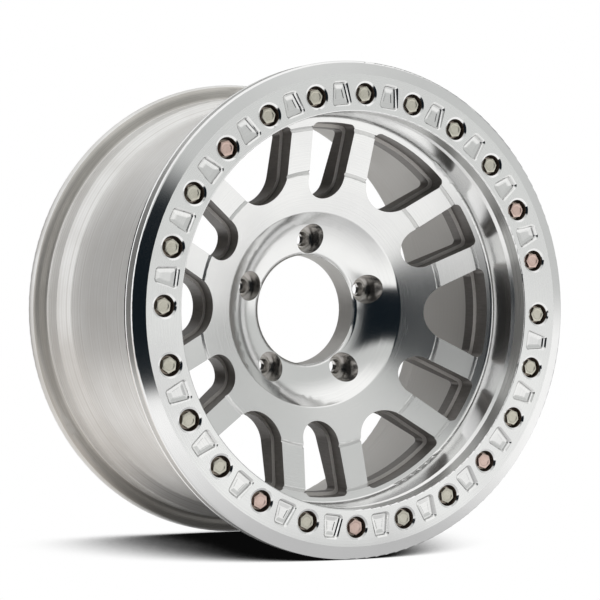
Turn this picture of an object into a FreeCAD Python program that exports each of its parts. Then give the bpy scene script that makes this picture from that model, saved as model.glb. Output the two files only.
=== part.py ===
"""Seventeen inch off-road wheel with a bolted clamp ring, in millimetres.

The wheel turns about Y. The hub mounting face lies in the plane y = 0 with the
bore's centre at the origin, the outer face looks along -Y and +Z is up.
Sections are drawn as (radius, y) and turned about Y.
"""
import FreeCAD, Part

import math
import os

V = FreeCAD.Vector
ORIGIN = V(0, 0, 0)
AXIS = V(0, 1, 0)
SKIM = 1.0

# Rim
RIM_WIDTH = 228.6
RIM_OFFSET = -6.0
BEAD_R = 218.3
SEAT_LENGTH = 18.8
SEAT_TAPER = 5.0
HUMP_HEIGHT = 1.0
HUMP_LENGTH = 3.0
FLANGE_HEIGHT = 16.0
FLANGE_WIDTH = 11.2
FLANGE_CURL_R = 9.0
FLANGE_EDGE_R = 2.0
WELL_DROP = 10.8
BARREL_WALL = 7.5
SHOULDER_LENGTH = 14.0
VALVE_HOLE_R = 5.75
VALVE_SETBACK = 31.0
VALVE_ANGLE = 187.5
VALVE_SEAT_R = 9.5
VALVE_WALL = 10.0

# Front shelf that carries the clamp ring
SHELF_LENGTH = 19.0
SHELF_CHAMFER = 2.4
LIP_INSET = 30.9
LIP_RELIEF = 3.0
LIP_RELIEF_LENGTH = 3.8

# Hub
BORE_R = 54.0
BORE_CHAMFER = 1.0
HUB_THICKNESS = 29.8
HUB_PAD_R = 88.0
HUB_PAD_STEP = 7.0
DISH_KNEE_R = 79.0
DISH_KNEE_H = 35.6
DISH_ROUND = 88.0
DISH_EDGE_R = 96.8
DISH_EDGE_H = 51.0

# Disc and spokes
COLLAR_R = 132.2
COLLAR_H = 66.0
SPOKE_INNER_H = 66.9
SPOKE_OUTER_H = 77.4
BAND_H = 78.0
BAND_WIDTH = 9.0
BAND_RISE = 3.4
COVE_ROUND = 4.0
GROOVE_WIDTH = 3.9
GROOVE_DEPTH = 1.4
GROOVE_WALL = 1.1
GROOVE_EDGE_ROUND = 2.0
DISC_BACK_R = 118.0
DISC_BACK_H = 22.0
DISC_BACK_SLOPE = 0.395

# Windows between the spokes, six narrow and six wide
WINDOW_PAIRS = 6
WINDOW_EDGE = 5.9
WINDOW_CORNER = 6.0
WINDOW_LEDGE = 3.4
LEDGE_DEPTH = 16.0
NARROW_INNER_R = 108.6
NARROW_END_R = 19.5
NARROW_SPREAD = 4.6
WIDE_INNER_R = 118.0
WIDE_END_R = 29.5
WIDE_SPREAD = 27.0

# Studs and nuts
LUG_COUNT = 5
LUG_CIRCLE_R = 69.85
LUG_START = 90.0
LUG_POCKET_R = 14.5
STUD_HOLE_R = 7.5
SEAT_TOP_R = 10.6
SEAT_TOP_H = 9.6
SEAT_HALF_ANGLE = 30.0
NUT_FLATS = 17.0
NUT_HEX_LENGTH = 5.8
NUT_COLLAR_R = 11.8
NUT_COLLAR_T = 2.0
NUT_COLLAR_GAP = 0.3
NUT_BORE_R = 6.3
NUT_TIP_R = 8.2
NUT_MOUTH = 0.9

# Clamp ring
RING_THICKNESS = 16.2
RING_LIP = 17.0
RING_BEVEL_WIDTH = 12.7
RING_BEVEL_DROP = 4.2
RING_FRONT_ROUND = 3.0
RING_REAR_ROUND = 1.2
RING_INNER_ROUND = 1.2
RING_RIB_LENGTH = 5.6
RING_RIB_WIDTH = 9.0
RING_RIB_ROUND = 2.6
RING_SLIT = 0.3

# Ring bolts and washers
BOLT_COUNT = 24
BOLT_INSET = 13.9
BOLT_R = 4.0
BOLT_THREAD = 22.0
BOLT_FLATS = 13.0
BOLT_HEAD = 5.3
BOLT_TURN = 47.0
BOLT_HOLE_GAP = 0.3
THREAD_GAP = 0.05
BOLT_WELL_R = 10.2
BOLT_WELL_DEPTH = 9.0
BOLT_WELL_CHAMFER = 1.9
BOLT_WELL_CHAMFER_DEPTH = 1.1
WASHER_R = 8.5
WASHER_T = 1.6

# Hexagon of every bolt head and nut
HEX_SIDES = 6
HEX_CHAMFER = 30.0
HEX_RIM_SHARE = 0.98

# Pockets milled in the ring between the bolts
POCKET_LENGTH = 19.4
POCKET_OUTER_WIDTH = 10.6
POCKET_INNER_WIDTH = 17.2
POCKET_ROUND = 1.8
POCKET_BEVEL = 1.3
POCKET_BEVEL_DEPTH = 0.9
POCKET_FLANK = 0.9
POCKET_FLANK_DEPTH = 1.4
POCKET_DEPTH = 4.0
BARE_BAYS = (0, 12)

# Derived sizes
FRONT_Y = RIM_OFFSET - RIM_WIDTH / 2
REAR_Y = RIM_OFFSET + RIM_WIDTH / 2
RING_FACE_Y = FRONT_Y - RING_THICKNESS
FLANGE_R = BEAD_R + FLANGE_HEIGHT
FLANGE_BACK_Y = REAR_Y + FLANGE_WIDTH
WELL_R = BEAD_R - WELL_DROP
BARREL_IN_R = WELL_R - BARREL_WALL
LIP_R = BEAD_R - LIP_INSET
RING_OUTER_R = BEAD_R + RING_LIP
BOLT_CIRCLE_R = BEAD_R - BOLT_INSET
WINDOW_OUTER_R = LIP_R - WINDOW_EDGE
BAND_R = LIP_R - BAND_WIDTH
BOLT_STEP = 360.0 / BOLT_COUNT


def radial(angle, radius, y=0.0):
    """Point at an angle round the axle, counted from +X towards +Z."""
    turn = math.radians(angle)
    return V(radius * math.cos(turn), y, radius * math.sin(turn))


def spun(shape, angle):
    """Copy of a shape turned round the axle from +X towards +Z."""
    copy = shape.copy()
    copy.rotate(ORIGIN, AXIS, -angle)
    return copy


def rounded_wire(corners, place):
    """Closed wire through corners (a, b, round), with a tangent arc at each rounded corner."""
    count = len(corners)
    runs = []
    for index, (a, b, round_r) in enumerate(corners):
        corner = V(a, b, 0)
        if not round_r:
            runs.append([corner])
            continue
        before = V(*corners[index - 1][:2], 0) - corner
        after = V(*corners[(index + 1) % count][:2], 0) - corner
        half = before.getAngle(after) / 2
        before.normalize()
        after.normalize()
        middle = before + after
        middle.normalize()
        tangent = round_r / math.tan(half)
        depth = round_r / math.sin(half) - round_r
        runs.append([corner + before * tangent, corner + middle * depth, corner + after * tangent])
    edges = []
    for index, run in enumerate(runs):
        points = [place(point) for point in run]
        if len(points) == 3:
            edges.append(Part.Arc(*points).toShape())
        following = place(runs[(index + 1) % count][0])
        edges.append(Part.LineSegment(points[-1], following).toShape())
    return Part.Wire(edges)


def turned(corners):
    """Solid of revolution about the axle from (radius, y, round) corners."""
    wire = rounded_wire(corners, lambda point: V(point.x, point.y, 0))
    return Part.Face(wire).revolve(ORIGIN, AXIS, 360)


def prism(corners, y_start, y_end):
    """Straight solid along Y whose outline is given by (x, z, round) corners."""
    wire = rounded_wire(corners, lambda point: V(point.x, y_start, point.y))
    return Part.Face(wire).extrude(V(0, y_end - y_start, 0))


def placed(shape, angle, radius):
    """Copy of a shape made on the axle, set at a radius and an angle."""
    copy = shape.copy()
    copy.translate(V(radius, 0, 0))
    return spun(copy, angle)


def groove(radius, start_h, end_h):
    """Corners of a turned groove, whose floor falls away outwards to a steep wall."""
    outer = radius + GROOVE_WIDTH
    return [
        (radius, -start_h, GROOVE_EDGE_ROUND),
        (outer - GROOVE_WALL, GROOVE_DEPTH - start_h, 0),
        (outer, -end_h, 0),
    ]


def hexagon(flats):
    """Corners of a hexagon given across its flats."""
    reach = flats / math.sqrt(3)
    points = [radial(360.0 / HEX_SIDES * step, reach) for step in range(HEX_SIDES)]
    return [(point.x, point.z, 0) for point in points]


def hex_body(flats, y_outer, y_inner):
    """Hexagonal prism whose outer end is chamfered round its corners."""
    reach = flats / math.sqrt(3)
    rim = flats / 2 * HEX_RIM_SHARE
    fall = (reach - rim) * math.tan(math.radians(HEX_CHAMFER))
    blank = turned([(0, y_outer, 0), (rim, y_outer, 0), (reach, y_outer + fall, 0), (reach, y_inner, 0),
                    (0, y_inner, 0)])
    return prism(hexagon(flats), y_outer, y_inner).common(blank)


def wheel_section():
    """Section of barrel, disc and hub, from the bore round the outside and back."""
    seat_drop = SEAT_LENGTH * math.tan(math.radians(SEAT_TAPER))
    shelf_r = BEAD_R - SHELF_LENGTH * math.tan(math.radians(SEAT_TAPER))
    seat_end_y = REAR_Y - SEAT_LENGTH
    hump_y = seat_end_y - HUMP_LENGTH
    hump_r = BEAD_R - seat_drop + HUMP_HEIGHT
    well_rear_y = hump_y - SHOULDER_LENGTH
    well_front_y = FRONT_Y + SHELF_LENGTH + SHOULDER_LENGTH
    back_fall = (BARREL_IN_R - DISC_BACK_R) * DISC_BACK_SLOPE
    hub = [
        (BORE_R + BORE_CHAMFER, 0, 0),
        (BORE_R, -BORE_CHAMFER, 0),
        (BORE_R, BORE_CHAMFER - HUB_THICKNESS, 0),
        (BORE_R + BORE_CHAMFER, -HUB_THICKNESS, 0),
        (DISH_KNEE_R, -DISH_KNEE_H, DISH_ROUND),
        (DISH_EDGE_R, -DISH_EDGE_H, 0),
    ]
    disc = groove(COLLAR_R, COLLAR_H, SPOKE_INNER_H)
    disc += groove(BAND_R - GROOVE_WIDTH, SPOKE_OUTER_H, BAND_H)
    disc += [(LIP_R, -BAND_H - BAND_RISE, COVE_ROUND)]
    shelf = [
        (LIP_R, FRONT_Y + LIP_RELIEF_LENGTH + LIP_RELIEF, 0),
        (LIP_R + LIP_RELIEF, FRONT_Y + LIP_RELIEF_LENGTH, 0),
        (LIP_R + LIP_RELIEF, FRONT_Y, 0),
        (BEAD_R - SHELF_CHAMFER, FRONT_Y, 0),
        (BEAD_R, FRONT_Y + SHELF_CHAMFER, 0),
        (shelf_r, FRONT_Y + SHELF_LENGTH, 0),
    ]
    barrel = [
        (WELL_R, well_front_y, BARREL_WALL),
        (WELL_R, well_rear_y, BARREL_WALL),
        (hump_r, hump_y, HUMP_LENGTH / 2),
        (BEAD_R - seat_drop, seat_end_y, HUMP_LENGTH / 2),
        (BEAD_R, REAR_Y, FLANGE_CURL_R / 2),
        (FLANGE_R, REAR_Y, FLANGE_CURL_R),
        (FLANGE_R, FLANGE_BACK_Y, FLANGE_EDGE_R),
        (FLANGE_R - BARREL_WALL, FLANGE_BACK_Y, 0),
        (hump_r - BARREL_WALL, REAR_Y + FLANGE_WIDTH / 2, BARREL_WALL / 2),
        (hump_r - BARREL_WALL, hump_y, BARREL_WALL),
        (BARREL_IN_R, well_rear_y, BARREL_WALL),
        (BARREL_IN_R, -DISC_BACK_H - back_fall, BARREL_WALL),
    ]
    back = [
        (DISC_BACK_R, -DISC_BACK_H, BARREL_WALL),
        (HUB_PAD_R + HUB_PAD_STEP / 2, -HUB_PAD_STEP, 0),
        (HUB_PAD_R, 0, 0),
    ]
    return hub + disc + shelf + barrel + back


def window(inner_r, end_r, spread, inset, y_start, y_end):
    """Window cutter on +X: round inner end, spreading sides and an arc along the rim."""
    end_r = end_r - inset
    centre = inner_r + inset + end_r
    outer_r = WINDOW_OUTER_R - inset
    lean = math.radians(spread)
    side = V(math.cos(lean), 0, math.sin(lean))
    touch = V(centre - end_r * math.sin(lean), 0, end_r * math.cos(lean))
    along = touch.dot(side)
    reach = -along + math.sqrt(along ** 2 + outer_r ** 2 - touch.dot(touch))
    far = touch + side * reach
    mirror = [V(point.x, 0, -point.z) for point in (touch, far)]
    edges = [
        Part.Arc(mirror[0], V(inner_r + inset, 0, 0), touch).toShape(),
        Part.LineSegment(touch, far).toShape(),
        Part.Arc(far, V(outer_r, 0, 0), mirror[1]).toShape(),
        Part.LineSegment(mirror[1], mirror[0]).toShape(),
    ]
    face = Part.Face(Part.Wire(edges))
    face.translate(V(0, y_start, 0))
    blank = face.extrude(V(0, y_end - y_start, 0))
    corners = [edge for edge in blank.Edges if edge.BoundBox.YLength > (y_end - y_start) / 2
               and edge.BoundBox.XMin > far.x - SKIM]
    return blank.makeFillet(WINDOW_CORNER - inset / 2, corners)


def window_cutters():
    """Windows whose front half is larger, leaving a ledge halfway down the wall."""
    front_y = FRONT_Y + LIP_RELIEF
    front_half = turned([
        (BORE_R, front_y, 0),
        (LIP_R, front_y, 0),
        (LIP_R, LEDGE_DEPTH - BAND_H, 0),
        (COLLAR_R, LEDGE_DEPTH - COLLAR_H, 0),
        (DISH_EDGE_R, LEDGE_DEPTH - DISH_EDGE_H, 0),
        (BORE_R, LEDGE_DEPTH - DISH_EDGE_H, 0),
    ])
    step = 360.0 / WINDOW_PAIRS
    kinds = [
        (NARROW_INNER_R, NARROW_END_R, NARROW_SPREAD, step / 2),
        (WIDE_INNER_R, WIDE_END_R, WIDE_SPREAD, 0.0),
    ]
    cutters = []
    for inner_r, end_r, spread, start in kinds:
        front = window(inner_r, end_r, spread, 0.0, front_y, HUB_PAD_STEP).common(front_half)
        rear = window(inner_r, end_r, spread, WINDOW_LEDGE, front_y, HUB_PAD_STEP)
        whole = front.fuse(rear)
        cutters += [spun(whole, start + step * turn) for turn in range(WINDOW_PAIRS)]
    return cutters


def lug_seat():
    """Cutter for one stud: pocket, cone seat and stud hole."""
    cone = (SEAT_TOP_R - STUD_HOLE_R) / math.tan(math.radians(SEAT_HALF_ANGLE))
    return turned([
        (0, -DISH_EDGE_H, 0),
        (LUG_POCKET_R, -DISH_EDGE_H, 0),
        (LUG_POCKET_R, -SEAT_TOP_H, 0),
        (SEAT_TOP_R, -SEAT_TOP_H, 0),
        (STUD_HOLE_R, cone - SEAT_TOP_H, 0),
        (STUD_HOLE_R, SKIM, 0),
        (0, SKIM, 0),
    ])


def lug_angles():
    return [LUG_START + 360.0 / LUG_COUNT * turn for turn in range(LUG_COUNT)]


def bolt_angles():
    return [BOLT_STEP * turn for turn in range(BOLT_COUNT)]


def valve_cutters():
    """Valve hole through the lip, with a round seat sunk into the barrel outside it."""
    outward = radial(VALVE_ANGLE, 1.0)
    valve_y = FRONT_Y + VALVE_SETBACK
    hole_start = radial(VALVE_ANGLE, LIP_R - SKIM, valve_y)
    seat_start = radial(VALVE_ANGLE, LIP_R + VALVE_WALL, valve_y)
    return [
        Part.makeCylinder(VALVE_HOLE_R, LIP_INSET, hole_start, outward),
        Part.makeCylinder(VALVE_SEAT_R, LIP_INSET, seat_start, outward),
    ]


def make_wheel():
    """One forging: barrel, disc, spokes and hub, with every hole in it."""
    wheel = turned(wheel_section()).cut(window_cutters())
    seat = lug_seat()
    cutters = [placed(seat, angle, LUG_CIRCLE_R) for angle in lug_angles()]
    tapped = Part.makeCylinder(BOLT_R + THREAD_GAP, BOLT_THREAD + 2 * SKIM, V(0, FRONT_Y - SKIM, 0), AXIS)
    cutters += [placed(tapped, angle, BOLT_CIRCLE_R) for angle in bolt_angles()]
    return wheel.cut(cutters + valve_cutters())


def bolt_seat():
    """Cutter for one ring bolt: chamfered well and clearance hole."""
    floor_y = RING_FACE_Y + BOLT_WELL_DEPTH
    hole_r = BOLT_R + BOLT_HOLE_GAP
    return turned([
        (0, RING_FACE_Y, 0),
        (BOLT_WELL_R + BOLT_WELL_CHAMFER, RING_FACE_Y, 0),
        (BOLT_WELL_R, RING_FACE_Y + BOLT_WELL_CHAMFER_DEPTH, 0),
        (BOLT_WELL_R, floor_y, 0),
        (hole_r, floor_y, 0),
        (hole_r, FRONT_Y + SKIM, 0),
        (0, FRONT_Y + SKIM, 0),
    ])


def pocket():
    """Cutter for one milled pocket: bevelled rim, steep flank and a flat floor, wider towards the hub."""
    def outline(grow, y):
        half = POCKET_LENGTH / 2 + grow
        inner = POCKET_INNER_WIDTH / 2 + grow
        outer = POCKET_OUTER_WIDTH / 2 + grow
        corners = [(-half, -inner), (half, -outer), (half, outer), (-half, inner)]
        rounded = [(x, z, POCKET_ROUND + grow) for x, z in corners]
        return rounded_wire(rounded, lambda point: V(point.x, y, point.y))

    bevel_y = RING_FACE_Y + POCKET_BEVEL_DEPTH
    flank_y = bevel_y + POCKET_FLANK_DEPTH
    floor_y = RING_FACE_Y + POCKET_DEPTH
    edge = outline(POCKET_FLANK + POCKET_BEVEL, RING_FACE_Y)
    crease = outline(POCKET_FLANK, bevel_y)
    foot = outline(0.0, flank_y)
    rim = Part.makeLoft([edge, crease], True, True)
    flank = Part.makeLoft([crease, foot], True, True)
    floor = Part.Face(foot).extrude(V(0, floor_y - flank_y, 0))
    return rim.fuse([flank, floor])


def make_ring():
    """Flat clamp ring with a bevelled rim, a round rib behind it, bolt wells and milled pockets."""
    bevel_y = RING_FACE_Y + RING_BEVEL_DROP
    slit_r = RING_OUTER_R - RING_RIB_ROUND - RING_SLIT
    rib_y = FRONT_Y + RING_RIB_LENGTH
    ring = turned([
        (LIP_R, FRONT_Y, 0),
        (LIP_R, RING_FACE_Y, RING_INNER_ROUND),
        (RING_OUTER_R - RING_BEVEL_WIDTH, RING_FACE_Y, 0),
        (RING_OUTER_R, bevel_y, RING_FRONT_ROUND),
        (RING_OUTER_R, FRONT_Y - RING_SLIT, RING_REAR_ROUND),
        (slit_r, FRONT_Y - RING_SLIT, 0),
        (slit_r, FRONT_Y, 0),
        (RING_OUTER_R, FRONT_Y, RING_RIB_ROUND),
        (RING_OUTER_R, rib_y, RING_RIB_ROUND),
        (RING_OUTER_R - RING_RIB_WIDTH, rib_y, RING_RIB_ROUND),
        (RING_OUTER_R - RING_RIB_WIDTH, FRONT_Y, 0),
    ])
    seat = bolt_seat()
    cutters = [placed(seat, angle, BOLT_CIRCLE_R) for angle in bolt_angles()]
    milled = pocket()
    for bay in range(BOLT_COUNT):
        if bay not in BARE_BAYS:
            cutters.append(placed(milled, BOLT_STEP * (bay + 0.5), BOLT_CIRCLE_R))
    return ring.cut(cutters)


def make_washers():
    """Flat washers on the floors of the bolt wells."""
    floor_y = RING_FACE_Y + BOLT_WELL_DEPTH
    hole_r = BOLT_R + BOLT_HOLE_GAP
    washer = turned([
        (hole_r, floor_y, 0),
        (WASHER_R, floor_y, 0),
        (WASHER_R, floor_y - WASHER_T, 0),
        (hole_r, floor_y - WASHER_T, 0),
    ])
    return [placed(washer, angle, BOLT_CIRCLE_R) for angle in bolt_angles()]


def make_bolts():
    """Hexagon bolts, each left at its own turn as a wrench would leave it."""
    under_y = RING_FACE_Y + BOLT_WELL_DEPTH - WASHER_T
    tip_y = FRONT_Y + BOLT_THREAD
    head = hex_body(BOLT_FLATS, under_y - BOLT_HEAD, under_y)
    shank = turned([
        (0, under_y - SKIM, 0),
        (BOLT_R, under_y - SKIM, 0),
        (BOLT_R, tip_y - SKIM, 0),
        (BOLT_R - SKIM, tip_y, 0),
        (0, tip_y, 0),
    ])
    bolt = head.fuse(shank).removeSplitter()
    return [placed(spun(bolt, BOLT_TURN * turn), angle, BOLT_CIRCLE_R)
            for turn, angle in enumerate(bolt_angles())]


def make_nuts():
    """Open nuts with a collar and a cone that seats in the hub."""
    floor_y = -SEAT_TOP_H
    collar_y = floor_y - NUT_COLLAR_GAP
    outer_y = collar_y - NUT_COLLAR_T - NUT_HEX_LENGTH
    flare = math.tan(math.radians(SEAT_HALF_ANGLE))
    cone_top_r = SEAT_TOP_R + NUT_COLLAR_GAP * flare
    tip_y = floor_y + (SEAT_TOP_R - NUT_TIP_R) / flare
    skirt = turned([
        (0, collar_y - NUT_COLLAR_T, 0),
        (NUT_COLLAR_R, collar_y - NUT_COLLAR_T, 0),
        (NUT_COLLAR_R, collar_y, 0),
        (cone_top_r, collar_y, 0),
        (NUT_TIP_R, tip_y, 0),
        (0, tip_y, 0),
    ])
    body = hex_body(NUT_FLATS, outer_y, collar_y - NUT_COLLAR_T + SKIM)
    hole = turned([
        (0, outer_y, 0),
        (NUT_BORE_R + NUT_MOUTH, outer_y, 0),
        (NUT_BORE_R, outer_y + NUT_MOUTH, 0),
        (NUT_BORE_R, tip_y, 0),
        (0, tip_y, 0),
    ])
    nut = body.fuse(skirt).cut(hole)
    return [placed(nut, angle, LUG_CIRCLE_R) for angle in lug_angles()]


def save(name, shape):
    shape.exportStep(f"parts/{name}.step")
    print(name, "solids", len(shape.Solids), "valid", shape.isValid(), "volume", round(shape.Volume))


os.makedirs("parts", exist_ok=True)
save("wheel", make_wheel())
save("clamp_ring", make_ring())
save("ring_washers", Part.makeCompound(make_washers()))
save("ring_bolts", Part.makeCompound(make_bolts()))
save("lug_nuts", Part.makeCompound(make_nuts()))
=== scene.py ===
import math

import bmesh
import bpy
from mathutils import Matrix, Vector


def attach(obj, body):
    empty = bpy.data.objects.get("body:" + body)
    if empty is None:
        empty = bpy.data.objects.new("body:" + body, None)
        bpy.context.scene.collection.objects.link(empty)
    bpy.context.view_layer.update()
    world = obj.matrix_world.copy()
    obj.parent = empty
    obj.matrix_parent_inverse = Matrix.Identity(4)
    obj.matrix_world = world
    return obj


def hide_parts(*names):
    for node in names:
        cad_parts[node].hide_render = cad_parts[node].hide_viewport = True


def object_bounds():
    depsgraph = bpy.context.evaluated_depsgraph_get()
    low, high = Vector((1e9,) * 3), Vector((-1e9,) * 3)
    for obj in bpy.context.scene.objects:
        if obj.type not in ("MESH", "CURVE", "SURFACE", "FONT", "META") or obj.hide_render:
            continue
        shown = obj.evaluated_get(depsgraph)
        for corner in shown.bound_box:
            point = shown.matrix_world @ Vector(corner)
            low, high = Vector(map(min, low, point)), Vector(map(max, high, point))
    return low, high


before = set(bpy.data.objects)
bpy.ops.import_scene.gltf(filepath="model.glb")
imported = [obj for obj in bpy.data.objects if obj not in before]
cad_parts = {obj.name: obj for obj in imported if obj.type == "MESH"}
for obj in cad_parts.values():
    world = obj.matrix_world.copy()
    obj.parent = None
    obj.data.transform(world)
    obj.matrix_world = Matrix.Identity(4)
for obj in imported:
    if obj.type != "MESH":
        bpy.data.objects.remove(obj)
cad_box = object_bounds()

# The wheel is one aluminium forging: hub, dish, paired spokes, deep lip, barrel and rear flange.
# It is turned all over on a lathe, then the windows and the lug seats are milled through it,
# so the face shows a fine turned polish, the barrel a satin skin and the window walls cutter marks
# on a dark colour that is painted shade.
MM = 0.001
WELD_MM = 0.002
AXLE = Vector((0, 1, 0))

# Sizes of the wheel. A front is a distance before the hub's back face, and a back is one behind it.
# Skin and slack allow for roundings between two finishes, and the other lengths are radii.
LUG_COUNT = 5
LUG_START_DEG = 90.0
LUG_CIRCLE_MM = 69.85
LUG_POCKET_MM = 14.5
HUB_FRONT_MM = 29.8
DISH_EDGE_MM = 96.8
DISH_EDGE_FRONT_MM = 51.0
COLLAR_MM = 132.2
COLLAR_FRONT_MM = 66.0
BAND_MM = 178.4
BAND_FRONT_MM = 78.0
COVE_FRONT_MM = 81.4
COVE_MM = 185.5
LIP_MM = 187.4
BARREL_IN_MM = 200.0
FLANGE_IN_MM = 219.0
FLANGE_BACK_MM = 90.0
WINDOW_IN_MM = 105.0
WINDOW_OUT_MM = 183.0
SKIN_MM = 2.6
SEAT_SLACK_MM = 0.2
COVE_SLACK_MM = 0.3

# How far a face's normal points forward, or outwards on the barrel, at the limit of a finish.
WALL_LOOK = 0.5
DISH_LOOK = 0.2
LIP_LOOK = 0.1
FACE_LOOK = 0.3
FLANGE_LOOK = 0.7
BARREL_LOOK = -0.3

# The Mix node's sockets for colours, by number since their names recur on it.
MIX_SHARE, MIX_FIRST, MIX_SECOND, MIXED = 0, 6, 7, 2

# The lathe's lines run round the axle and are counted outwards, with a share of the way along the axle.
# The clouds are marks of handling. Where lines and clouds are both weak the skin is duller and rougher.
LINE_AXLE_SHARE = 0.7
CLOUD_MM = 60.0
TONE_LOW, TONE_HIGH = 0.1, 0.4
TURNED_SPREAD = 0.15
QUARTER_TURN = 0.25
MARK_STRETCH = 0.12
MILLED_SPREAD = 0.2


def linear(colour):
    """Linear RGBA of an sRGB hex colour, by the curve of the sRGB standard."""
    parts = [int(colour[place:place + 2], 16) / 255 for place in (1, 3, 5)]
    curve = [((part + 0.055) / 1.055) ** 2.4 if part > 0.04045 else part / 12.92 for part in parts]
    return (*curve, 1.0)


def add(tree, kind, links=None, **settings):
    """New node with its settings; links gives each input a value or another node's output."""
    made = tree.nodes.new(kind)
    for name, value in settings.items():
        setattr(made, name, value)
    for name, value in (links or {}).items():
        if isinstance(value, bpy.types.NodeSocket):
            tree.links.new(value, made.inputs[name])
        else:
            made.inputs[name].default_value = value
    return made


def new_material(name):
    """Empty node material with its shader, output and object coordinates."""
    material = bpy.data.materials.new(name)
    material.use_nodes = True
    tree = material.node_tree
    tree.nodes.clear()
    shader = add(tree, "ShaderNodeBsdfPrincipled")
    add(tree, "ShaderNodeOutputMaterial", {"Surface": shader.outputs["BSDF"]})
    place = add(tree, "ShaderNodeTexCoord").outputs["Object"]
    return material, tree, shader, place


def dress(tree, shader, metal, skin, rough, bump):
    """Links a metal's colour, roughness and bump to its shader."""
    tree.links.new(skin.outputs[MIXED], shader.inputs["Base Color"])
    tree.links.new(rough.outputs["Result"], shader.inputs["Roughness"])
    tree.links.new(bump.outputs["Normal"], shader.inputs["Normal"])
    shader.inputs["Metallic"].default_value = metal


def turned_aluminium(name, colour, dull, roughness, line_mm, line_depth_mm, grain, metal=1.0):
    """Aluminium off the lathe: concentric tool lines, so reflections smear across them."""
    material, tree, shader, place = new_material(name)
    split = add(tree, "ShaderNodeSeparateXYZ", {"Vector": place})
    flat = add(tree, "ShaderNodeCombineXYZ", {"X": split.outputs["X"], "Y": split.outputs["Z"]})
    radius = add(tree, "ShaderNodeVectorMath", {0: flat.outputs["Vector"]}, operation="LENGTH")
    along = add(tree, "ShaderNodeMath",
                {0: split.outputs["Y"], 1: LINE_AXLE_SHARE, 2: radius.outputs["Value"]},
                operation="MULTIPLY_ADD")
    lines = add(tree, "ShaderNodeTexNoise",
                {"W": along.outputs["Value"], "Scale": 1 / (line_mm * MM), "Detail": 2.0},
                noise_dimensions="1D")
    cloud = add(tree, "ShaderNodeTexNoise", {"Vector": place, "Scale": 1 / (CLOUD_MM * MM), "Detail": 3.0})
    mixed = add(tree, "ShaderNodeMath", {0: lines.outputs["Fac"], 1: cloud.outputs["Fac"]},
                operation="MULTIPLY")
    span = {"Value": mixed.outputs["Value"], "From Min": TONE_LOW, "From Max": TONE_HIGH}
    tone = add(tree, "ShaderNodeMapRange", span)
    skin = add(tree, "ShaderNodeMix",
               {MIX_SHARE: tone.outputs["Result"], MIX_FIRST: linear(dull), MIX_SECOND: linear(colour)},
               data_type="RGBA")
    rough = add(tree, "ShaderNodeMapRange",
                {**span, "To Min": roughness * (1 + TURNED_SPREAD),
                 "To Max": roughness * (1 - TURNED_SPREAD)})
    bump = add(tree, "ShaderNodeBump",
               {"Height": lines.outputs["Fac"], "Strength": 1.0, "Distance": line_depth_mm * MM})
    dress(tree, shader, metal, skin, rough, bump)
    around = add(tree, "ShaderNodeTangent", direction_type="RADIAL", axis="Y")
    tree.links.new(around.outputs["Tangent"], shader.inputs["Tangent"])
    shader.inputs["Anisotropic"].default_value = grain
    shader.inputs["Anisotropic Rotation"].default_value = QUARTER_TURN
    return material


def milled_aluminium(name, colour, dull, roughness, mark_mm, mark_depth_mm, metal):
    """Aluminium left by a cutter that turns: fine marks along the cut, so light spreads unevenly."""
    material, tree, shader, place = new_material(name)
    stretch = add(tree, "ShaderNodeMapping", {"Vector": place, "Scale": (1.0, MARK_STRETCH, 1.0)})
    marks = add(tree, "ShaderNodeTexNoise",
                {"Vector": stretch.outputs["Vector"], "Scale": 1 / (mark_mm * MM), "Detail": 4.0,
                 "Roughness": 0.6})
    skin = add(tree, "ShaderNodeMix",
               {MIX_SHARE: marks.outputs["Fac"], MIX_FIRST: linear(dull), MIX_SECOND: linear(colour)},
               data_type="RGBA")
    rough = add(tree, "ShaderNodeMapRange",
                {"Value": marks.outputs["Fac"], "To Min": roughness * (1 - MILLED_SPREAD),
                 "To Max": roughness * (1 + MILLED_SPREAD)})
    bump = add(tree, "ShaderNodeBump",
               {"Height": marks.outputs["Fac"], "Strength": 1.0, "Distance": mark_depth_mm * MM})
    dress(tree, shader, metal, skin, rough, bump)
    return material


# A point belongs to the turned section where it recurs all round the axle, within the grid. Surfaces that
# bend less than a crease shade as one, and so do the short steps of a round, where wide steps count most.
SECTION_GRID_MM = 0.04
SECTION_COUNT = 60
SECTION_TWIST = 0.0004
CREASE_DEG = 11.0
MILLED_CREASE_DEG = 24.0
ROUND_STEP_DEG = 35.0
ROUND_STEP_MM = 4.0
WIDTH_POWER = 3
TURNED_SLACK = 0.04
FAN_SLACK = 0.3


def section_lean(step, normal, outward):
    """Lean and width of a step along the turned section, leaning to the side that the normal shows."""
    across = Vector((-step.y, step.x))
    if across.dot(Vector((normal.dot(outward), normal.y))) < 0:
        across.negate()
    return math.atan2(across.x, -across.y), step.length / MM


def lean_normal(lean, outward):
    """Normal of a turned surface with a lean, where outward points away from the axle."""
    return outward * math.sin(lean) - AXLE * math.cos(lean)


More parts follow.
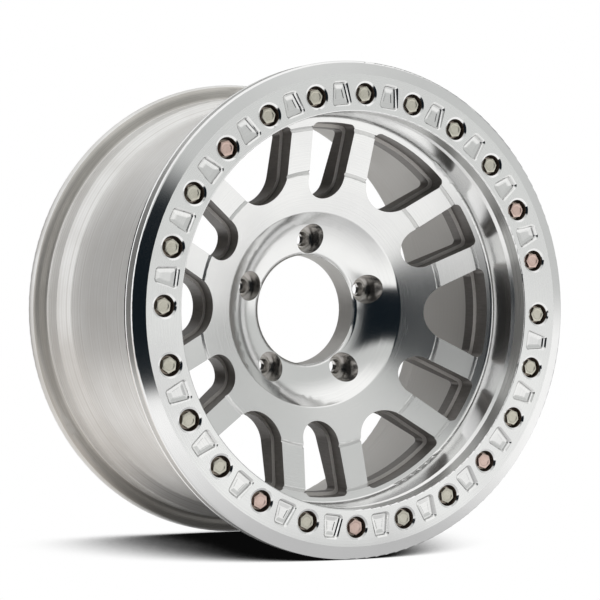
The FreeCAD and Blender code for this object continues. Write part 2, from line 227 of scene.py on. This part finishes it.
def turned_section(shape):
    """Each vertex's place in the section, and the short steps that meet at those of the turned shape."""
    spots = {vert: Vector((math.hypot(vert.co.x, vert.co.z), vert.co.y)) for vert in shape.verts}
    keys = {vert: tuple(round(part / (SECTION_GRID_MM * MM)) for part in spot)
            for vert, spot in spots.items()}
    counts = {}
    for key in keys.values():
        counts[key] = counts.get(key, 0) + 1
    steps = {}
    for edge in shape.edges:
        first, second = edge.verts
        twist = first.co.x * second.co.z - first.co.z * second.co.x
        if min(counts[keys[first]], counts[keys[second]]) < SECTION_COUNT or keys[first] == keys[second]:
            continue
        if abs(twist) > SECTION_TWIST * spots[first].x * spots[second].x or not edge.link_faces:
            continue
        outward = Vector((first.co.x, 0, first.co.z)).normalized()
        normal = sum((face.normal for face in edge.link_faces), Vector())
        lean, width = section_lean(spots[second] - spots[first], normal, outward)
        if width < ROUND_STEP_MM:
            steps.setdefault(keys[first], {})[keys[second]] = (lean, width)
            steps.setdefault(keys[second], {})[keys[first]] = (lean, width)
    return spots, {vert: list(steps[key].values()) for vert, key in keys.items() if key in steps}


def corner_normals(shape, milled):
    """Normals of the true surfaces at each corner of each face, so that no facets show."""
    spots, steps = turned_section(shape)
    turned = {}
    for face in shape.faces:
        middle = face.calc_center_median()
        outward = Vector((middle.x, 0, middle.z)).normalized()
        sideways = abs(face.normal.dot(outward.cross(AXLE)))
        slack = FAN_SLACK if all(vert in steps for vert in face.verts) else TURNED_SLACK
        if face.material_index not in milled and sideways < slack:
            section = [spots[vert] for vert in face.verts]
            longest = max((first - second for first in section for second in section),
                          key=lambda step: step.length)
            turned[face] = section_lean(longest, face.normal, outward)
    sizes = {face: face.calc_area() for face in shape.faces if face not in turned}
    milled_crease = math.radians(MILLED_CREASE_DEG)
    normals = []
    for face in shape.faces:
        for vert in face.verts:
            total = Vector()
            if face in turned:
                lean, width = turned[face]
                outward = Vector((vert.co.x, 0, vert.co.z)).normalized()
                short = steps.get(vert, [])
                near = [turned[other] for other in vert.link_faces if other in turned]
                near = [other for other in near if other[1] >= ROUND_STEP_MM or not short] + short
                for other_lean, other_width in near:
                    bend = math.degrees(abs(math.remainder(lean - other_lean, math.tau)))
                    in_round = bend < ROUND_STEP_DEG and min(width, other_width) < ROUND_STEP_MM
                    if bend < CREASE_DEG or in_round:
                        total += lean_normal(other_lean, outward) * other_width ** WIDTH_POWER
                if not total.length:
                    total = lean_normal(lean, outward)
            else:
                for other in vert.link_faces:
                    if other in sizes and other.normal.angle(face.normal, 0.0) < milled_crease:
                        total += other.normal * sizes[other]
            normals.append(total.normalized() if total.length else face.normal.copy())
    return normals


def merged_copy(node, name, finishes, finish_of, milled, refine=None):
    """Welded copy of a CAD node, each face given its finish and each corner the normal of its surface."""
    piece = bpy.data.objects.new(name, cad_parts[node].data.copy())
    bpy.context.scene.collection.objects.link(piece)
    mesh = piece.data
    if mesh.has_custom_normals:
        bpy.context.view_layer.objects.active = piece
        bpy.ops.mesh.customdata_custom_splitnormals_clear()
    shape = bmesh.new()
    shape.from_mesh(mesh)
    bmesh.ops.remove_doubles(shape, verts=shape.verts[:], dist=WELD_MM * MM)
    mesh.materials.clear()
    for finish in finishes:
        mesh.materials.append(finish)
    for face in shape.faces:
        face.material_index = finish_of(face)
        face.smooth = True
    if refine:
        refine(shape)
    normals = corner_normals(shape, milled)
    shape.to_mesh(mesh)
    shape.free()
    mesh.normals_split_custom_set(normals)
    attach(piece, "root")
    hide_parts(node)
    return piece


def lug_turns():
    """Angles of the lug seats round the axle, from +X towards +Z, the first straight up."""
    return [math.radians(LUG_START_DEG + 360 / LUG_COUNT * step) for step in range(LUG_COUNT)]


def lug_places():
    """Centres of the lug seats in millimetres."""
    return [(LUG_CIRCLE_MM * math.cos(turn), LUG_CIRCLE_MM * math.sin(turn)) for turn in lug_turns()]


def face_front(radius):
    """How far the turned face lies in front of the hub's back at a radius, in millimetres."""
    steps = [(0.0, HUB_FRONT_MM), (DISH_EDGE_MM, DISH_EDGE_FRONT_MM), (COLLAR_MM, COLLAR_FRONT_MM),
             (BAND_MM, BAND_FRONT_MM), (LIP_MM, COVE_FRONT_MM)]
    for (low_r, low), (high_r, high) in zip(steps, steps[1:]):
        if radius <= high_r:
            return low + (high - low) * (radius - low_r) / (high_r - low_r)
    return COVE_FRONT_MM


FACE, DISH, LIP, BARREL, SHADED_INSIDE, WINDOW, LEDGE, SEAT, FLANGE = range(9)


def wheel_finish(face):
    """Finish of a face of the wheel, from where it lies and where it looks."""
    middle = face.calc_center_median() / MM
    radius = math.hypot(middle.x, middle.z)
    front = -middle.y
    forward = -face.normal.y
    outward = (face.normal.x * middle.x + face.normal.z * middle.z) / radius
    seat_reach = LUG_POCKET_MM + SEAT_SLACK_MM
    if any(math.hypot(middle.x - x, middle.z - z) < seat_reach for x, z in lug_places()):
        if abs(forward) < WALL_LOOK or (forward > WALL_LOOK and front < HUB_FRONT_MM - SKIN_MM):
            return SEAT
    if radius < DISH_EDGE_MM and forward > DISH_LOOK:
        return DISH
    if radius > BAND_MM and front > BAND_FRONT_MM and outward < 0.0:
        if forward > LIP_LOOK or radius > COVE_MM:
            return LIP
    if WINDOW_IN_MM < radius < WINDOW_OUT_MM and forward > -WALL_LOOK:
        if abs(front - face_front(radius)) < SKIN_MM and forward > FACE_LOOK:
            return FACE
        return LEDGE if forward > WALL_LOOK else WINDOW
    if radius > FLANGE_IN_MM and middle.y > FLANGE_BACK_MM and forward > FLANGE_LOOK:
        return FLANGE
    if radius > BARREL_IN_MM and outward > BARREL_LOOK:
        return BARREL
    if front > BAND_FRONT_MM + COVE_SLACK_MM:
        return LIP
    if forward > FACE_LOOK and radius < LIP_MM + SKIN_MM:
        return FACE
    # What is left lies inside the wheel, in the satin skin's darker copy, whose grey is painted shade.
    return SHADED_INSIDE


# Real lathe lines and cutter marks lie about 0.1 mm apart. Here they are drawn coarser, so that they show.
wheel_finishes = [
    # Finely turned: bright, with soft rays of light that run out from the axle.
    turned_aluminium("turned aluminium face", "#ebebea", "#e2e2e2",
                     roughness=0.24, line_mm=0.5, line_depth_mm=0.002, grain=0.5),
    # Turned and polished: nearly a mirror, with the studio's lights and darks in it.
    turned_aluminium("polished aluminium dish", "#ececeb", "#e4e4e4",
                     roughness=0.13, line_mm=0.4, line_depth_mm=0.0003, grain=0.2),
    # Smoothly turned: broad reflections with soft edges, and no lines that show.
    turned_aluminium("turned aluminium lip", "#ebebea", "#e2e2e2",
                     roughness=0.2, line_mm=0.6, line_depth_mm=0.0, grain=0.4),
    # Satin: pale grey and matt, with faint rings.
    turned_aluminium("satin aluminium barrel", "#eeeeed", "#d6d4d1",
                     roughness=0.4, line_mm=2.0, line_depth_mm=0.001, grain=0.0, metal=0.42),
    # The barrel's satin skin where it is hardly seen, coloured darker as painted shade: an even mid grey.
    turned_aluminium("satin aluminium inside, painted shade", "#cbc9c6", "#c9c7c4",
                     roughness=0.5, line_mm=2.0, line_depth_mm=0.0, grain=0.0, metal=0.4),
    # Milled and left so: marks along the cut, on walls coloured dark as painted shade inside the windows.
    milled_aluminium("milled aluminium window wall with painted shade", "#918d8a", "#676360",
                     roughness=0.45, mark_mm=1.6, mark_depth_mm=0.03, metal=0.45),
    # Milled flat with the cutter's end: a lighter, matt step in the windows.
    milled_aluminium("milled aluminium ledge", "#d6d2ce", "#bcb8b4",
                     roughness=0.4, mark_mm=1.6, mark_depth_mm=0.02, metal=0.3),
    # Bored clean: a small bright mirror round each nut.
    milled_aluminium("drilled aluminium seat", "#dcdad8", "#d0cdca",
                     roughness=0.17, mark_mm=0.8, mark_depth_mm=0.0, metal=0.92),
    # Turned in coarse passes: grey, with rings that catch the light.
    turned_aluminium("coarse turned aluminium flange", "#cbc8c3", "#b3b0ab",
                     roughness=0.36, line_mm=0.8, line_depth_mm=0.004, grain=0.0, metal=0.65),
]
wheel = merged_copy("wheel", "forged_wheel", wheel_finishes, wheel_finish, (WINDOW, LEDGE, SEAT))

# The clamp ring is a flat plate of aluminium, turned on both sides with a bevel round its outer edge.
# Bolt wells are bored in it and a tapered pocket is milled between each pair of bolts.
# Its face is evenly turned and bright; the wells are coloured dark brown, which is painted shade.
BOLT_COUNT = 24
BOLT_CIRCLE_MM = 204.4
WELL_MM = 10.3
WELL_RIM_MM = 12.3
WELL_RIM_DEPTH_MM = 1.15
RING_FRONT_MM = 136.5
RING_FLAT_MM = 222.7
RING_OUTER_MM = 235.3
RING_INNER_MM = 187.4
RING_THICK_MM = 16.2
RIB_CROWN_MM = 18.9
POCKET_REACH_MM = 13.0
POCKET_DEPTH_MM = 4.0
SLACK_MM = 0.1
FLAT_SLACK_MM = 0.02
FLOOR_SLACK_MM = 0.05
FLAT_LOOK = 0.99

# Each inset of a pocket's floor: its share of the floor before it, and its drop in millimetres.
TERRACES = ((0.84, 0.0), (0.88, 0.28), (0.76, 0.0), (0.84, 0.28))
RING_FACE, RING_EDGE, RING_WELL, RING_POCKET, RING_SIDE = range(5)


def bolt_turns():
    """Angles of the ring bolts round the axle, from +X towards +Z."""
    return [math.tau * step / BOLT_COUNT for step in range(BOLT_COUNT)]


def ring_finish(face):
    """Finish of a face of the clamp ring, from where it lies."""
    middle = face.calc_center_median() / MM
    radius = math.hypot(middle.x, middle.z)
    depth = RING_FRONT_MM + middle.y
    near = min(math.hypot(middle.x - BOLT_CIRCLE_MM * math.cos(turn),
                          middle.z - BOLT_CIRCLE_MM * math.sin(turn)) for turn in bolt_turns())
    if near < WELL_MM and WELL_RIM_DEPTH_MM < depth < RING_THICK_MM - SLACK_MM:
        return RING_WELL
    if depth < FLAT_SLACK_MM and radius < RING_FLAT_MM:
        return RING_FACE
    between = near > WELL_RIM_MM and abs(radius - BOLT_CIRCLE_MM) < POCKET_REACH_MM
    if between and depth < POCKET_DEPTH_MM + SLACK_MM:
        return RING_POCKET
    reach = [math.hypot(vert.co.x, vert.co.z) / MM for vert in face.verts]
    in_bore = max(reach) < RING_INNER_MM + SLACK_MM
    on_rim = min(reach) > RING_OUTER_MM - SLACK_MM and depth < RING_THICK_MM
    return RING_SIDE if depth > RIB_CROWN_MM or in_bore or on_rim else RING_EDGE


def terraced_floors(shape):
    """Steps each pocket's floor down twice, as the cutter left it on its way inwards."""
    floors = [face for face in shape.faces
              if face.material_index == RING_POCKET and face.normal.y < -FLAT_LOOK
              and abs(RING_FRONT_MM + face.calc_center_median().y / MM - POCKET_DEPTH_MM) < FLOOR_SLACK_MM]
    for floor in bmesh.ops.dissolve_faces(shape, faces=floors)["region"]:
        away = Matrix.Translation(-floor.calc_center_median_weighted())
        for share, drop_mm in TERRACES:
            bmesh.ops.inset_region(shape, faces=[floor], thickness=0.0)
            bmesh.ops.scale(shape, vec=(share, 1, share), space=away, verts=floor.verts[:])
            bmesh.ops.translate(shape, vec=(0, drop_mm * MM, 0), verts=floor.verts[:])
    for face in shape.faces:
        if face.material_index == RING_POCKET:
            face.normal_update()


ring_finishes = [
    # Finely turned: an even bright sheen, with streaks that run out from the axle.
    turned_aluminium("turned aluminium ring face", "#ecedec", "#e4e4e4",
                     roughness=0.26, line_mm=0.6, line_depth_mm=0.0015, grain=0.5),
    # Turned with a sharp tool: clear bands of light round the bevel and the rib.
    turned_aluminium("turned aluminium ring edge", "#ececec", "#e3e3e3",
                     roughness=0.12, line_mm=0.5, line_depth_mm=0.0006, grain=0.3),
    # Painted shade: the wells are coloured brown to black, with little shine of metal.
    milled_aluminium("aluminium well with painted shade", "#6a5d52", "#3a3029",
                     roughness=0.35, mark_mm=1.0, mark_depth_mm=0.01, metal=0.4),
    # Milled with fine feed: clear small reflections on each step of the floors.
    turned_aluminium("milled aluminium pocket", "#e8e8e7", "#dedede",
                     roughness=0.14, line_mm=0.8, line_depth_mm=0.001, grain=0.0),
    # Turned in coarser passes: greyer, with rings.
    turned_aluminium("turned aluminium ring side", "#d4d4d2", "#c2c2c0",
                     roughness=0.3, line_mm=0.8, line_depth_mm=0.004, grain=0.4, metal=0.7),
]
ring = merged_copy("clamp_ring", "turned_clamp_ring", ring_finishes, ring_finish,
                   (RING_WELL, RING_POCKET), terraced_floors)

# The ring bolts are zinc plated steel with a chamfered hexagon head, each left at its own turn.
# The plating's passivation leaves most heads a greenish beige and a few of them pink.
# Each bolt is pressed on a plain flat washer of the same plating.
BOLT_FLATS_MM = 13.0
BOLT_HEAD_MM = 5.3
BOLT_TURN_DEG = 47.0
CORNER_TURN_DEG = 30.0
BOLT_SHANK_MM = 4.0
BOLT_TIP_MM = 98.3
TIP_CHAMFER_MM = 1.0
HEAD_UNDER_MM = 129.1
HEAD_RIM_SHARE = 0.93
HEAD_CHAMFER_DEG = 20.0
HEAD_CUP_MM = 5.2
CUP_SLOPE_MM = 0.9
CUP_DEPTH_MM = 0.4
HEAD_SIDES = 6
HEAD_STEPS = 48
PINK_BOLTS = (1, 2, 9, 16, 18, 21)

# Real plating has a grit of less than 0.1 mm. It is drawn coarser here, so that it shows.
PLATING_CLOUD_MM = 6.0
PLATING_GRIT_MM = 0.7
PLATING_GRIT_DEPTH_MM = 0.02
PLATING_SPREAD = 0.3


def hexagon_reach(turn, flats):
    """Distance from a hexagon's middle to its side in a direction."""
    sector = math.tau / HEAD_SIDES
    return flats / 2 / math.cos((turn + sector / 2) % sector - sector / 2)


def extruded_ring(shape, edges, place):
    """Extrudes a closed loop of edges and puts each new vertex where place says."""
    made = bmesh.ops.extrude_edge_only(shape, edges=edges)["geom"]
    for vert in made:
        if isinstance(vert, bmesh.types.BMVert):
            vert.co = place(vert.co)
    return [edge for edge in made if isinstance(edge, bmesh.types.BMEdge)]


def hexagon_head(shape, flats, top, under):
    """Hexagon head from its chamfered top down to its underside; returns its top and lower loops."""
    rim = flats / 2 * HEAD_RIM_SHARE
    slope = math.tan(math.radians(HEAD_CHAMFER_DEG))
    upright = Matrix.Translation((0, top, 0)) @ Matrix.Rotation(math.pi / 2, 4, "X")
    circle = bmesh.ops.create_circle(shape, segments=HEAD_STEPS, radius=rim, cap_ends=False, matrix=upright)
    start = list({edge for vert in circle["verts"] for edge in vert.link_edges})

    def shoulder(point):
        turn = math.atan2(point.z, point.x)
        reach = hexagon_reach(turn, flats)
        return Vector((reach * math.cos(turn), top + (reach - rim) * slope, reach * math.sin(turn)))

    side = extruded_ring(shape, start, shoulder)
    lower = extruded_ring(shape, side, lambda point: Vector((point.x, under, point.z)))
    return start, lower


def round_step(radius, depth):
    """Place for extruded_ring: at a radius round the axis and a depth along it."""
    def place(point):
        turn = math.atan2(point.z, point.x)
        return Vector((radius * math.cos(turn), depth, radius * math.sin(turn)))
    return place


def finished_piece(shape, name, finishes):
    """Object from a mesh drawn in millimetres, its normals outward and its creases sharp."""
    bmesh.ops.scale(shape, vec=(MM, MM, MM), verts=shape.verts[:])
    bmesh.ops.recalc_face_normals(shape, faces=shape.faces[:])
    mesh = bpy.data.meshes.new(name)
    shape.to_mesh(mesh)
    shape.free()
    for finish in finishes:
        mesh.materials.append(finish)
    mesh.shade_smooth()
    mesh.set_sharp_from_angle(angle=math.radians(MILLED_CREASE_DEG))
    piece = bpy.data.objects.new(name, mesh)
    bpy.context.scene.collection.objects.link(piece)
    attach(piece, "root")
    return piece


def plated_steel(name, colour, dull, roughness, metal):
    """Plated steel: soft metal with cloudy colours and a fine grit."""
    material, tree, shader, place = new_material(name)
    cloud = add(tree, "ShaderNodeTexNoise",
                {"Vector": place, "Scale": 1 / (PLATING_CLOUD_MM * MM), "Detail": 4.0})
    grit = add(tree, "ShaderNodeTexNoise",
               {"Vector": place, "Scale": 1 / (PLATING_GRIT_MM * MM), "Detail": 2.0})
    skin = add(tree, "ShaderNodeMix",
               {MIX_SHARE: cloud.outputs["Fac"], MIX_FIRST: linear(dull), MIX_SECOND: linear(colour)},
               data_type="RGBA")
    rough = add(tree, "ShaderNodeMapRange",
                {"Value": grit.outputs["Fac"], "To Min": roughness * (1 - PLATING_SPREAD),
                 "To Max": roughness * (1 + PLATING_SPREAD)})
    bump = add(tree, "ShaderNodeBump",
               {"Height": grit.outputs["Fac"], "Strength": 1.0, "Distance": PLATING_GRIT_DEPTH_MM * MM})
    dress(tree, shader, metal, skin, rough, bump)
    return material


def bolt_shape():
    """One ring bolt on the axle, head towards -Y."""
    shape = bmesh.new()
    head_top = HEAD_UNDER_MM + BOLT_HEAD_MM
    top, lower = hexagon_head(shape, BOLT_FLATS_MM, -head_top, -HEAD_UNDER_MM)
    for radius, front in ((HEAD_CUP_MM, head_top), (HEAD_CUP_MM - CUP_SLOPE_MM, head_top - CUP_DEPTH_MM)):
        top = extruded_ring(shape, top, round_step(radius, -front))
    bmesh.ops.edgeloop_fill(shape, edges=top)
    shank = extruded_ring(shape, lower, round_step(BOLT_SHANK_MM, -HEAD_UNDER_MM))
    end = extruded_ring(shape, shank, round_step(BOLT_SHANK_MM, -BOLT_TIP_MM - TIP_CHAMFER_MM))
    tip = extruded_ring(shape, end, round_step(BOLT_SHANK_MM - TIP_CHAMFER_MM, -BOLT_TIP_MM))
    bmesh.ops.edgeloop_fill(shape, edges=tip)
    return shape


def placed_copies(single, places):
    """Copies of a small shape, each turned about its own axis and set round the axle."""
    mesh = bpy.data.meshes.new("single")
    single.to_mesh(mesh)
    single.free()
    group = bmesh.new()
    for own_turn, turn, radius, finish in places:
        before = len(group.verts)
        before_faces = len(group.faces)
        group.from_mesh(mesh)
        group.verts.ensure_lookup_table()
        group.faces.ensure_lookup_table()
        outwards = Matrix.Translation((radius, 0, 0))
        spin = Matrix.Rotation(-turn, 4, "Y") @ outwards @ Matrix.Rotation(-own_turn, 4, "Y")
        bmesh.ops.transform(group, matrix=spin, verts=group.verts[before:])
        for face in group.faces[before_faces:]:
            face.material_index = finish
    bpy.data.meshes.remove(mesh)
    return group


bolt_places = [(math.radians(BOLT_TURN_DEG * step + CORNER_TURN_DEG), turn, BOLT_CIRCLE_MM,
                int(step in PINK_BOLTS)) for step, turn in enumerate(bolt_turns())]
plated = [
    # Zinc with its usual passivation: soft greenish beige, a little cloudy.
    plated_steel("zinc plated steel beige", "#d6d3c7", "#bbb7a9", roughness=0.3, metal=0.9),
    # The same zinc where the passivation came out pink.
    plated_steel("zinc plated steel pink", "#e0cac1", "#cbaea3", roughness=0.3, metal=0.9),
]
bolts = finished_piece(placed_copies(bolt_shape(), bolt_places), "hexagon_ring_bolts", plated)
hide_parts("ring_bolts")

# The washers are stamped flat rings on the floors of the wells, their edges rolled over a little.
# They carry the same zinc plating, drawn warmer in colour and less metallic.
WASHER_MM = 8.5
WASHER_HOLE_MM = 4.3
WASHER_TOP_MM = 129.1
WASHER_FLOOR_MM = 127.5
WASHER_ROLL_MM = 0.4


def washer_shape():
    """One washer on the axle, from a closed section spun round it."""
    shape = bmesh.new()
    corners = [(WASHER_HOLE_MM, WASHER_FLOOR_MM), (WASHER_MM, WASHER_FLOOR_MM),
               (WASHER_MM, WASHER_TOP_MM - WASHER_ROLL_MM), (WASHER_MM - WASHER_ROLL_MM, WASHER_TOP_MM),
               (WASHER_HOLE_MM, WASHER_TOP_MM)]
    verts = [shape.verts.new((radius, -front, 0)) for radius, front in corners]
    edges = [shape.edges.new((verts[place - 1], verts[place])) for place in range(len(verts))]
    bmesh.ops.spin(shape, geom=verts + edges, cent=(0, 0, 0), axis=AXLE, angle=math.tau, steps=HEAD_STEPS,
                   use_merge=True)
    return shape


washer_places = [(0.0, turn, BOLT_CIRCLE_MM, 0) for turn in bolt_turns()]
washers = finished_piece(placed_copies(washer_shape(), washer_places), "zinc_ring_washers",
                         [plated_steel("washer zinc plated steel", "#d9cdc1", "#b3a598",
                                       roughness=0.35, metal=0.45)])
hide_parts("ring_washers")

# The lug nuts are bright plated steel, open at the end, with a collar and a cone below the hexagon.
# The plating is smooth, so that each side of a nut shows as one clear light or dark patch.
# Their thread runs right through, and shows in the mouth of each nut.
NUT_FLATS_MM = 17.0
NUT_TOP_MM = 17.7
NUT_SHOULDER_MM = 11.9
NUT_COLLAR_MM = 11.8
NUT_COLLAR_UNDER_MM = 9.9
NUT_CONE_TOP_MM = 10.77
NUT_TIP_MM = 8.2
NUT_TIP_DEPTH_MM = 5.45
NUT_BORE_MM = 6.95
NUT_MOUTH_MM = 0.4
THREAD_PITCH_MM = 1.5
THREAD_DEPTH_MM = 0.65
THREAD_STEPS = 36


def nut_shape():
    """One open nut on the axle: hexagon, collar, cone and a threaded bore."""
    shape = bmesh.new()
    top, loop = hexagon_head(shape, NUT_FLATS_MM, -NUT_TOP_MM, -NUT_SHOULDER_MM)
    for radius, front in ((NUT_COLLAR_MM, NUT_SHOULDER_MM), (NUT_COLLAR_MM, NUT_COLLAR_UNDER_MM),
                          (NUT_CONE_TOP_MM, NUT_COLLAR_UNDER_MM), (NUT_TIP_MM, NUT_TIP_DEPTH_MM),
                          (NUT_BORE_MM, NUT_TIP_DEPTH_MM), (NUT_BORE_MM, NUT_TOP_MM - NUT_MOUTH_MM),
                          (NUT_BORE_MM + NUT_MOUTH_MM, NUT_TOP_MM)):
        loop = extruded_ring(shape, loop, round_step(radius, -front))
    bmesh.ops.bridge_loops(shape, edges=loop + top)
    bmesh.ops.recalc_face_normals(shape, faces=shape.faces[:])
    # The thread's ridge starts below the mouth and ends one turn before the tip.
    turns = math.floor((NUT_TOP_MM - NUT_MOUTH_MM - NUT_TIP_DEPTH_MM) / THREAD_PITCH_MM) - 1
    start = -NUT_TOP_MM + NUT_MOUTH_MM
    ridge = [(NUT_BORE_MM, start), (NUT_BORE_MM - THREAD_DEPTH_MM, start + THREAD_PITCH_MM / 2),
             (NUT_BORE_MM, start + THREAD_PITCH_MM)]
    verts = [shape.verts.new((radius, depth, 0)) for radius, depth in ridge]
    edges = [shape.edges.new((first, second)) for first, second in zip(verts, verts[1:])]
    bmesh.ops.spin(shape, geom=verts + edges, cent=(0, 0, 0), axis=-AXLE, angle=math.tau * turns,
                   dvec=(0, THREAD_PITCH_MM / THREAD_STEPS, 0), steps=THREAD_STEPS * turns)
    return shape


nut_places = [(math.radians(CORNER_TURN_DEG), turn, LUG_CIRCLE_MM, 0) for turn in lug_turns()]
nuts = finished_piece(placed_copies(nut_shape(), nut_places), "open_lug_nuts",
                      [plated_steel("bright plated steel", "#cfccc8", "#b4b1ad", roughness=0.2, metal=0.95)])
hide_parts("lug_nuts")

# The wheel stands on a plain white studio floor, in a white tent with a dark opening round the camera
# and a dark end behind it at the left, which are the dark patches in the polished metal.
# The floor is darkest where the rims stand on it.
FLOOR_SIZE_M = 12.0
FLOOR_LEAN = (0.08, -0.6, 0.79)
SHADE_REACH_M = 0.26
SHADE_SAMPLES = 32
SHADE_FULL, SHADE_NONE = 0.28, 0.68
SHADE_DARK = 0.003
WHITE = (1.0, 1.0, 1.0, 1.0)
WALL_LIGHT = (0.66, 0.67, 0.66, 1.0)

# Each patch's left, right, lower and upper edge, in degrees to the right of the wheel's front and above the
# axle, from where the patch begins to where it is full, and then its light.
STUDIO_PATCHES = [
    # The lit floor, and its part close to the wheel.
    (None, None, None, (4, -3), (1.1, 1.1, 1.09, 1.0)),
    (None, None, None, (-20, -55), (0.6, 0.6, 0.6, 1.0)),
    # The cloth overhead.
    (None, None, (32, 56), None, (1.12, 1.12, 1.11, 1.0)),
    # The grey wall behind the wheel at the right.
    ((80, 110), None, (-16, -8), (40, 24), (0.32, 0.32, 0.32, 1.0)),
    # The wall at the left, its brightest stretch, and the warm floor before it.
    (None, (-58, -64), None, (60, 35), (0.95, 0.95, 0.95, 1.0)),
    ((-120, -106), (-58, -64), None, (60, 35), (1.2, 1.2, 1.2, 1.0)),
    ((-140, -126), (-66, -80), None, (-4, -16), (0.86, 0.82, 0.78, 1.0)),
    # The dark end behind the wheel at the left.
    (None, (-116, -128), (-20, -14), (32, 24), (0.01, 0.01, 0.01, 1.0)),
    # The dark opening round the camera.
    ((-72, -56), (15, -8), (-18, -14.5), (26, 18), (0.004, 0.008, 0.012, 1.0)),
]


def studio_light(tree, direction):
    """Colour of the studio in a direction from the wheel, each soft patch laid over those before it."""
    split = add(tree, "ShaderNodeSeparateXYZ", {"Vector": direction})
    front = add(tree, "ShaderNodeMath", {0: split.outputs["Y"], 1: -1.0}, operation="MULTIPLY")
    around = add(tree, "ShaderNodeMath", {0: split.outputs["X"], 1: front.outputs["Value"]},
                 operation="ARCTAN2")
    above = add(tree, "ShaderNodeMath", {0: split.outputs["Z"]}, operation="ARCSINE")
    light = WALL_LIGHT
    for left, right, low, high, colour in STUDIO_PATCHES:
        cover = 1.0
        for angle, edge in ((around, left), (around, right), (above, low), (above, high)):
            if edge:
                inside = add(tree, "ShaderNodeMapRange",
                             {"Value": angle.outputs["Value"], "From Min": math.radians(edge[0]),
                              "From Max": math.radians(edge[1])}, interpolation_type="SMOOTHSTEP")
                cover = add(tree, "ShaderNodeMath", {0: cover, 1: inside.outputs["Result"]},
                            operation="MULTIPLY").outputs["Value"]
        light = add(tree, "ShaderNodeMix", {MIX_SHARE: cover, MIX_FIRST: light, MIX_SECOND: colour},
                    data_type="RGBA").outputs[MIXED]
    return light


def white_to_camera(tree, direction):
    """The studio's light in a direction, but plain white where the camera sees it."""
    seen = add(tree, "ShaderNodeLightPath").outputs["Is Camera Ray"]
    light = studio_light(tree, direction)
    return add(tree, "ShaderNodeMix", {MIX_SHARE: seen, MIX_FIRST: light, MIX_SECOND: WHITE},
               data_type="RGBA").outputs[MIXED]


world = bpy.data.worlds.new("white studio")
world.use_nodes = True
bpy.context.scene.world = world
sky = world.node_tree
sky.nodes.clear()
sky_way = add(sky, "ShaderNodeTexCoord").outputs["Generated"]
glow = add(sky, "ShaderNodeBackground", {"Color": white_to_camera(sky, sky_way), "Strength": 1.0})
add(sky, "ShaderNodeOutputWorld", {"Surface": glow.outputs["Background"]})

floor_shape = bmesh.new()
bmesh.ops.create_grid(floor_shape, x_segments=1, y_segments=1, size=FLOOR_SIZE_M / 2,
                      matrix=Matrix.Translation((0, 0, cad_box[0].z)))
floor_mesh = bpy.data.meshes.new("studio_floor")
floor_shape.to_mesh(floor_mesh)
floor_shape.free()
floor = bpy.data.objects.new("studio_floor", floor_mesh)
bpy.context.scene.collection.objects.link(floor)

# White paper, which shows no texture. It glows with the studio's own light, so that it never looks grey,
# and it is shaded by how much of the wheel stands close to it on the lean's side.
floor_paint = bpy.data.materials.new("white studio floor")
floor_paint.use_nodes = True
paint = floor_paint.node_tree
paint.nodes.clear()
floor_place = add(paint, "ShaderNodeTexCoord").outputs["Object"]
floor_way = add(paint, "ShaderNodeVectorMath", {0: floor_place}, operation="NORMALIZE").outputs["Vector"]
lean = add(paint, "ShaderNodeCombineXYZ", dict(zip("XYZ", FLOOR_LEAN)))
near = add(paint, "ShaderNodeAmbientOcclusion",
           {"Distance": SHADE_REACH_M, "Normal": lean.outputs["Vector"]}, samples=SHADE_SAMPLES)
shade = add(paint, "ShaderNodeMapRange",
            {"Value": near.outputs["AO"], "From Min": SHADE_FULL, "From Max": SHADE_NONE,
             "To Min": SHADE_DARK, "To Max": 1.0}, interpolation_type="SMOOTHSTEP")
floor_tone = add(paint, "ShaderNodeVectorMath",
                 {0: white_to_camera(paint, floor_way), "Scale": shade.outputs["Result"]},
                 operation="SCALE")
floor_glow = add(paint, "ShaderNodeEmission", {"Color": floor_tone.outputs["Vector"], "Strength": 1.0})
add(paint, "ShaderNodeOutputMaterial", {"Surface": floor_glow.outputs["Emission"]})
floor_mesh.materials.append(floor_paint)

# The camera stands low and to the left of the wheel's face, with a long lens.
# It is level with the axle, so the rims' circles close up to upright ovals.
CAMERA_PLACE_M = Vector((-0.9663, -1.7605, -0.0043))
CAMERA_AZIMUTH_DEG = -28.992
CAMERA_ELEVATION_DEG = -0.389
CAMERA_ROLL_DEG = 1.208
LEVEL_DEG = 90.0
LENS_MM = 120.28
SENSOR_MM = 36.0

lens = bpy.data.cameras.new("camera")
lens.sensor_width = SENSOR_MM
lens.lens = LENS_MM
camera = bpy.data.objects.new("camera", lens)
bpy.context.scene.collection.objects.link(camera)
aim = Matrix.Rotation(math.radians(CAMERA_AZIMUTH_DEG), 4, "Z")
tilt = Matrix.Rotation(math.radians(LEVEL_DEG - CAMERA_ELEVATION_DEG), 4, "X")
roll = Matrix.Rotation(math.radians(CAMERA_ROLL_DEG), 4, "Z")
camera.matrix_world = Matrix.Translation(CAMERA_PLACE_M) @ aim @ tilt @ roll
bpy.context.scene.camera = camera
bpy.context.scene.view_settings.view_transform = "Standard"
